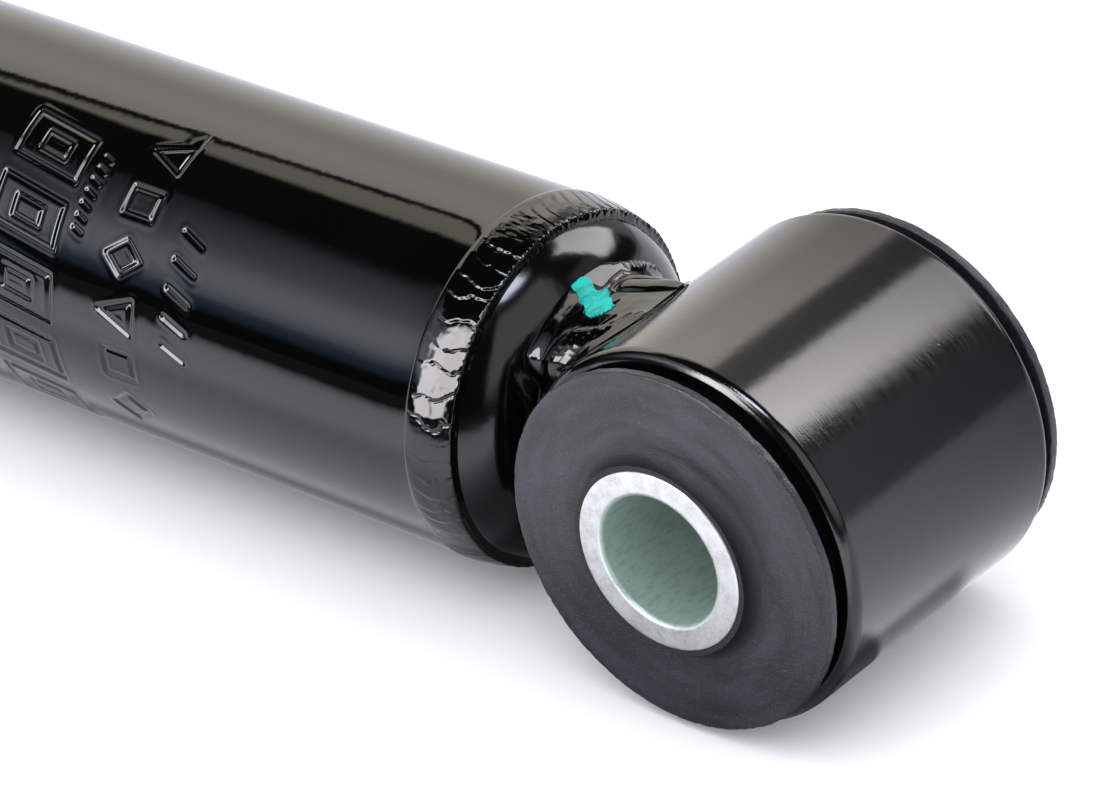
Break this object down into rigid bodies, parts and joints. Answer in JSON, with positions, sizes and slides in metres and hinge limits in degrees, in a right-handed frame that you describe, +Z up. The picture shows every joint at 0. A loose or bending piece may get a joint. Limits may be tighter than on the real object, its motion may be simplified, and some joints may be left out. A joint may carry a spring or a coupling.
{
  "type": "shock absorber",
  "caption": "Black twin-tube telescopic shock absorber with a chromed rod and a welded eye ring holding a bonded rubber bush and steel sleeve at each end.",
  "frame": {"origin": "centre of the lower eye's bore", "axes": "+X along the damper towards the rod end, +Y along the lower eye's bore, +Z up with the damper lying on its two eye rings"},
  "size_m": [0.5405, 0.0474, 0.047],
  "materials": {
    "black_paint": "gloss black baked enamel over steel",
    "bush_rubber": "matte moulded rubber with fine flash",
    "zinc_sleeve": "bright zinc plate, brushed bore",
    "rod_chrome": "hard chrome, ground and polished",
    "seal_rubber": "smooth nitrile rubber",
    "plain_steel": "turned or blanked steel, oiled",
    "sintered_iron": "sintered iron, steam treated",
    "bush_bronze": "bronze-lined bush",
    "band_plastic": "filled PTFE band"
  },
  "bodies": {
    "reservoir": {"reservoir_tube": "black_paint", "base_cap": "black_paint", "base_weld": "black_paint", "lower_eye_ring": "black_paint", "lower_eye_weld": "black_paint", "lower_bush_rubber": "bush_rubber", "pressure_tube": "plain_steel", "base_valve_body": "sintered_iron", "base_valve_bolt": "plain_steel", "base_valve_nut": "plain_steel", "compression_discs": "plain_steel", "intake_spring": "plain_steel", "rod_guide": "sintered_iron", "guide_bush": "bush_bronze", "guide_o_ring": "seal_rubber", "rod_seal": "seal_rubber", "seal_garter_spring": "plain_steel", "seal_washer": "plain_steel"},
    "lower_sleeve": {"lower_bush_sleeve": "zinc_sleeve"},
    "intake_plate": {"intake_plate": "plain_steel"},
    "piston_band": {"piston_band": "band_plastic"},
    "rod": {"piston_rod": "rod_chrome", "rebound_stop": "plain_steel", "rebound_bumper": "seal_rubber", "check_stop": "plain_steel", "check_spring": "plain_steel", "piston": "sintered_iron", "rebound_discs": "plain_steel", "rebound_washer": "plain_steel", "piston_nut": "plain_steel", "upper_eye_weld": "black_paint", "upper_eye_ring": "black_paint", "upper_bush_rubber": "bush_rubber"},
    "check_plate": {"check_plate": "plain_steel"},
    "upper_sleeve": {"upper_bush_sleeve": "zinc_sleeve"}
  },
  "joints": [
    {"name": "rod_slide", "type": "slide", "parent": "reservoir", "child": "piston_band", "axis": [1, 0, 0], "range_m": [-0.15, 0], "stiffness_N_per_m": 100, "springref_m": 0.7},
    {"name": "rod_spin", "type": "hinge", "parent": "piston_band", "child": "rod", "pos_m": [0.3, 0, 0], "axis": [1, 0, 0], "continuous": true},
    {"name": "lower_sleeve_turn", "type": "hinge", "parent": "reservoir", "child": "lower_sleeve", "pos_m": [0, 0, 0], "axis": [0, 1, 0], "range_deg": [-15, 15], "stiffness_Nm_per_rad": 45},
    {"name": "upper_sleeve_turn", "type": "hinge", "parent": "rod", "child": "upper_sleeve", "pos_m": [0.4935, 0, 0], "axis": [0, 1, 0], "range_deg": [-15, 15], "stiffness_Nm_per_rad": 45},
    {"name": "intake_lift", "type": "slide", "parent": "reservoir", "child": "intake_plate", "axis": [1, 0, 0], "range_m": [0, 0.0008], "stiffness_N_per_m": 300, "springref_m": -0.002, "deforming": ["intake_spring"]},
    {"name": "check_lift", "type": "slide", "parent": "rod", "child": "check_plate", "axis": [1, 0, 0], "range_m": [0, 0.0008], "stiffness_N_per_m": 300, "springref_m": -0.002, "deforming": ["check_spring"]}
  ]
}
